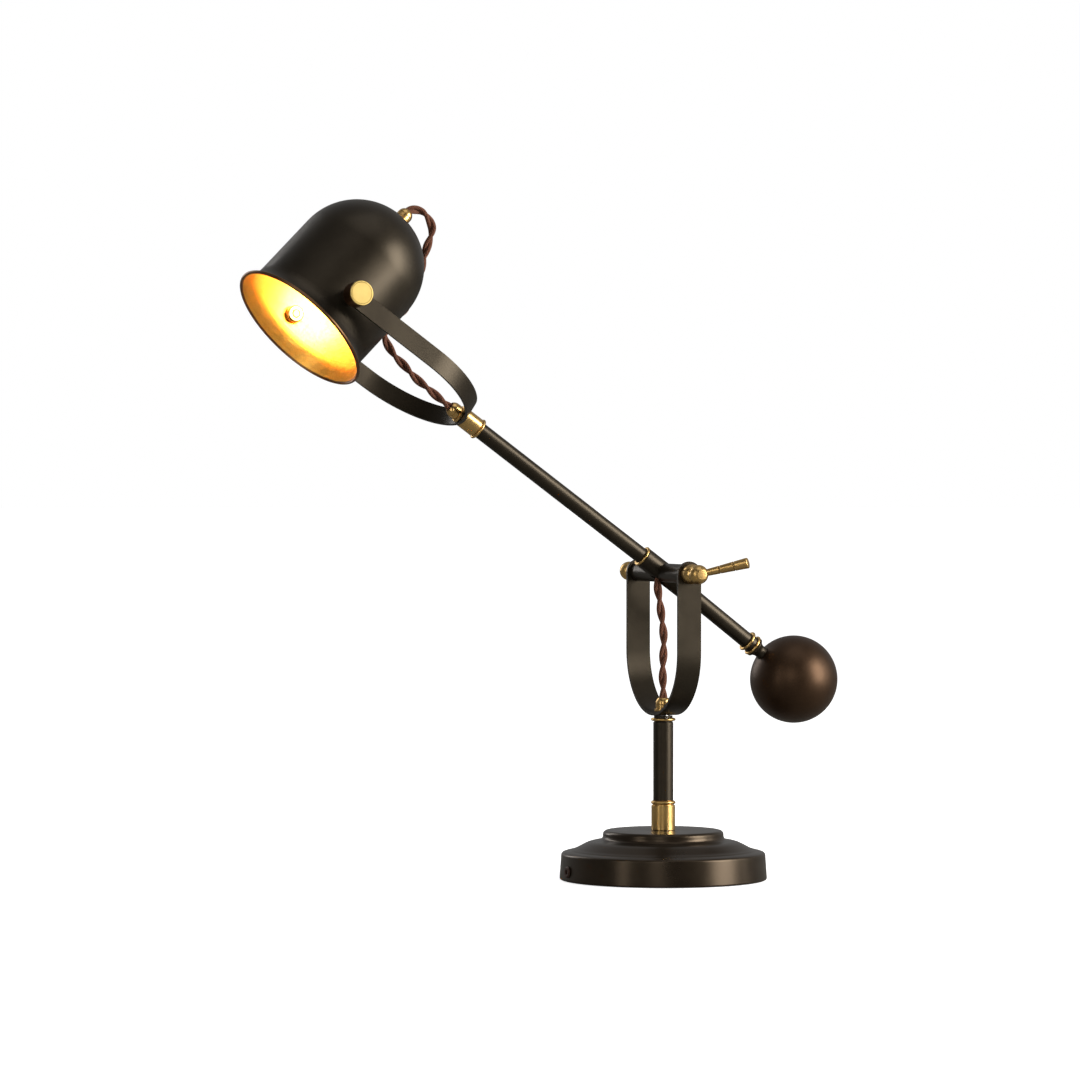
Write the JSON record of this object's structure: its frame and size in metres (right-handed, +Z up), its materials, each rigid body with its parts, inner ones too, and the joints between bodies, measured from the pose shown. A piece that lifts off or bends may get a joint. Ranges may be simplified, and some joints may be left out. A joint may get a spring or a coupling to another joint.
{
  "type": "swing arm desk lamp",
  "caption": "Desk lamp with a weighted round base, a counterweighted arm rocking in a strap fork, and a domed metal shade tilting in a second fork.",
  "frame": {"origin": "centre of the base's underside, on the desk", "axes": "+Z up, arm in the XZ plane at rest, shade towards -X, counterweight towards +X, rocking axis parallel to Y with the clamp lever on the -Y side"},
  "size_m": [0.5231, 0.1874, 0.5619],
  "materials": {
    "bronze": "satin dark bronze",
    "ball_bronze": "satin warm bronze",
    "brass": "antique satin",
    "steel": "zinc plated",
    "iron": "raw casting",
    "felt": "felt",
    "rubber": "matt",
    "ceramic": "glazed",
    "bulb": "frosted, lit",
    "filament": "lit",
    "cord": "braided"
  },
  "bodies": {
    "base": {"base_felt_pad": "felt", "base_shell": "bronze", "base_weight": "iron", "base_washer": "steel", "base_nut": "steel", "base_spreader": "steel", "base_spacer_tube": "steel", "cord_gland": "rubber", "stem_collar": "brass", "stem_tube": "bronze", "stem_plug": "bronze", "stem_ring": "brass", "stem_washer": "bronze", "stem_pipe": "steel", "stem_cord_grip": "brass"},
    "stem_yoke": {"stem_fork": "bronze", "pivot_lobe_far": "brass", "pivot_lobe_near": "brass", "pivot_cap": "brass", "stem_cord": "cord"},
    "clamp": {"clamp_knob": "brass", "clamp_lever": "brass"},
    "arm": {"arm_hub": "bronze", "hub_ring_front": "brass", "hub_ring_rear": "brass", "arm_tube_front": "bronze", "arm_ferrule": "brass", "head_pipe": "steel", "head_cord_grip": "brass", "arm_tube_rear": "bronze", "tail_bead_front": "brass", "tail_neck": "bronze", "tail_bead_rear": "brass", "counterweight_ball": "ball_bronze"},
    "head_yoke": {"head_fork": "bronze", "head_cord": "cord"},
    "thumb_far": {"thumb_screw_far": "brass"},
    "thumb_near": {"thumb_screw_near": "brass"},
    "head_shade": {"shade": "bronze", "pivot_spacer_far": "bronze", "pivot_spacer_near": "bronze", "pivot_nut_far": "brass", "pivot_nut_near": "brass", "shade_cord_grip": "brass", "shade_pipe": "steel", "shade_lock_nut": "steel", "lampholder": "ceramic", "holder_ring": "brass", "bulb_cap": "steel", "bulb_glass": "bulb", "bulb_filament": "filament"}
  },
  "joints": [
    {"name": "stem_swivel", "type": "hinge", "parent": "base", "child": "stem_yoke", "pos_m": [0, 0, 0.1374], "axis": [0, 0, 1], "range_deg": [-170, 170]},
    {"name": "arm_rock", "type": "hinge", "parent": "stem_yoke", "child": "arm", "pos_m": [0, 0, 0.2562], "axis": [0, 1, 0], "range_deg": [-48, 28], "deforming": ["stem_cord"]},
    {"name": "clamp_turn", "type": "hinge", "parent": "stem_yoke", "child": "clamp", "pos_m": [0, -0.075, 0.2562], "axis": [0, 1, 0], "range_deg": [-60, 90]},
    {"name": "head_swivel", "type": "hinge", "parent": "arm", "child": "head_yoke", "pos_m": [-0.17963, 0, 0.38528], "axis": [-0.8121, 0, 0.5835], "range_deg": [-82, 82]},
    {"name": "shade_tilt", "type": "hinge", "parent": "head_yoke", "child": "head_shade", "pos_m": [-0.30388, 0, 0.47456], "axis": [-0.0711, 0.9925, -0.099], "range_deg": [-40, 70], "deforming": ["head_cord"]},
    {"name": "thumb_far_turn", "type": "hinge", "parent": "head_yoke", "child": "thumb_far", "pos_m": [-0.30886, 0.06948, 0.46763], "axis": [-0.0711, 0.9925, -0.099], "range_deg": [-90, 90]},
    {"name": "thumb_near_turn", "type": "hinge", "parent": "head_yoke", "child": "thumb_near", "pos_m": [-0.2989, -0.06948, 0.48149], "axis": [-0.0711, 0.9925, -0.099], "range_deg": [-90, 90]}
  ]
}
